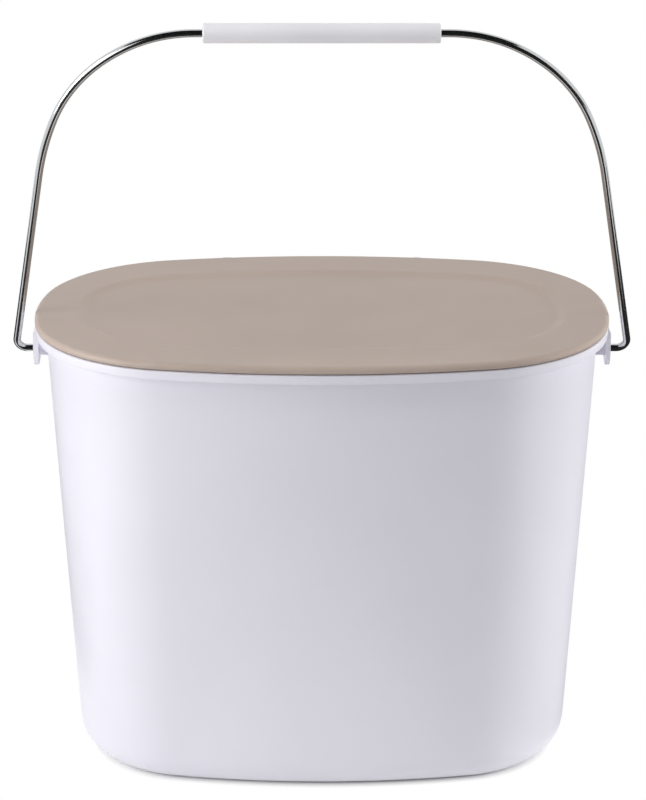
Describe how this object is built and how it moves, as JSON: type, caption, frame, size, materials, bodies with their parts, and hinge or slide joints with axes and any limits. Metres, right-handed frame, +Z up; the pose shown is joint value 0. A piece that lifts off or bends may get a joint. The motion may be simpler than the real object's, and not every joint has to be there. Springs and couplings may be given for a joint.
{
  "type": "compost caddy",
  "caption": "Oval drafted plastic kitchen pail for food scraps, with a flat lid hinged at the back, a chromed wire bail and a white tube grip.",
  "frame": {"origin": "centre of the pail's standing face, on the surface it stands on", "axes": "+X to the right across the pail along its wider side, +Y from the front to the hinged back, +Z up"},
  "size_m": [0.281, 0.1868, 0.3511],
  "materials": {
    "pail_white": "smooth, soft sheen",
    "lid_taupe": "smooth, soft sheen",
    "pin_steel": "plain drawn pin",
    "bail_chrome": "bright plated wire",
    "grip_white": "smooth, light gloss"
  },
  "bodies": {
    "pail_body": {"pail": "pail_white", "hinge_pin_left": "pin_steel", "hinge_pin_right": "pin_steel"},
    "lid_body": {"lid": "lid_taupe"},
    "bail_body": {"bail_wire": "bail_chrome"},
    "grip_body": {"grip": "grip_white"}
  },
  "joints": [
    {"name": "lid_hinge", "type": "hinge", "parent": "pail_body", "child": "lid_body", "pos_m": [0, 0.091, 0.2014], "axis": [-1, 0, 0], "range_deg": [0, 112]},
    {"name": "bail_swing", "type": "hinge", "parent": "pail_body", "child": "bail_body", "pos_m": [0, 0, 0.1899], "axis": [1, 0, 0], "range_deg": [-170, 130]},
    {"name": "grip_roll", "type": "hinge", "parent": "bail_body", "child": "grip_body", "pos_m": [0, -0.05712, 0.34683], "axis": [1, 0, 0], "continuous": true}
  ]
}
